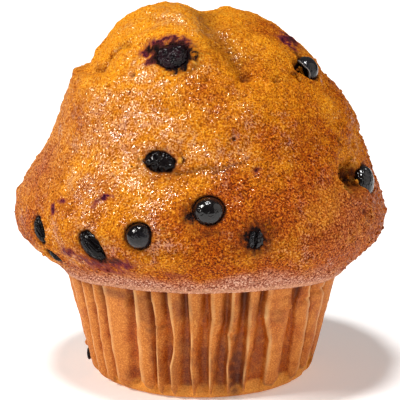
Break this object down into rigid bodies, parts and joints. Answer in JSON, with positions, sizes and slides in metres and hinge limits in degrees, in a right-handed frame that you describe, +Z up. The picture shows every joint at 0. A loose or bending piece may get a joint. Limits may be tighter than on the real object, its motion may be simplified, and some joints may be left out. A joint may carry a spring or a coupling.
{
  "type": "muffin",
  "caption": "Domed berry muffin with a lobed, folded crown that overhangs its fluted paper case, whole berries set in the crust.",
  "frame": {"origin": "middle of the paper case's flat base, on the surface it stands on", "axes": "+Z up, -Y towards the front with most of the berries, +X to the right seen from the front"},
  "size_m": [0.0853, 0.0853, 0.0864],
  "materials": {
    "crust": "baked golden brown crust, oily and finely granular",
    "paper": "oil-soaked unbleached baking paper, matte",
    "berry": "baked blue-black berry skin, part glossy and part wrinkled"
  },
  "bodies": {
    "root": {"muffin": "crust", "paper_case": "paper", "berry_top_burst": "berry", "berry_right_shoulder": "berry", "berry_waist": "berry", "berry_front": "berry", "berry_front_left": "berry", "berry_left_oval": "berry", "berry_left_edge": "berry", "berry_left_rim": "berry", "berry_front_sunk": "berry", "berry_right_edge": "berry", "berry_back_high": "berry", "berry_back_left": "berry", "berry_back_middle": "berry", "berry_back_right": "berry", "berry_back_low": "berry", "berry_back_rim": "berry"}
  },
  "joints": []
}
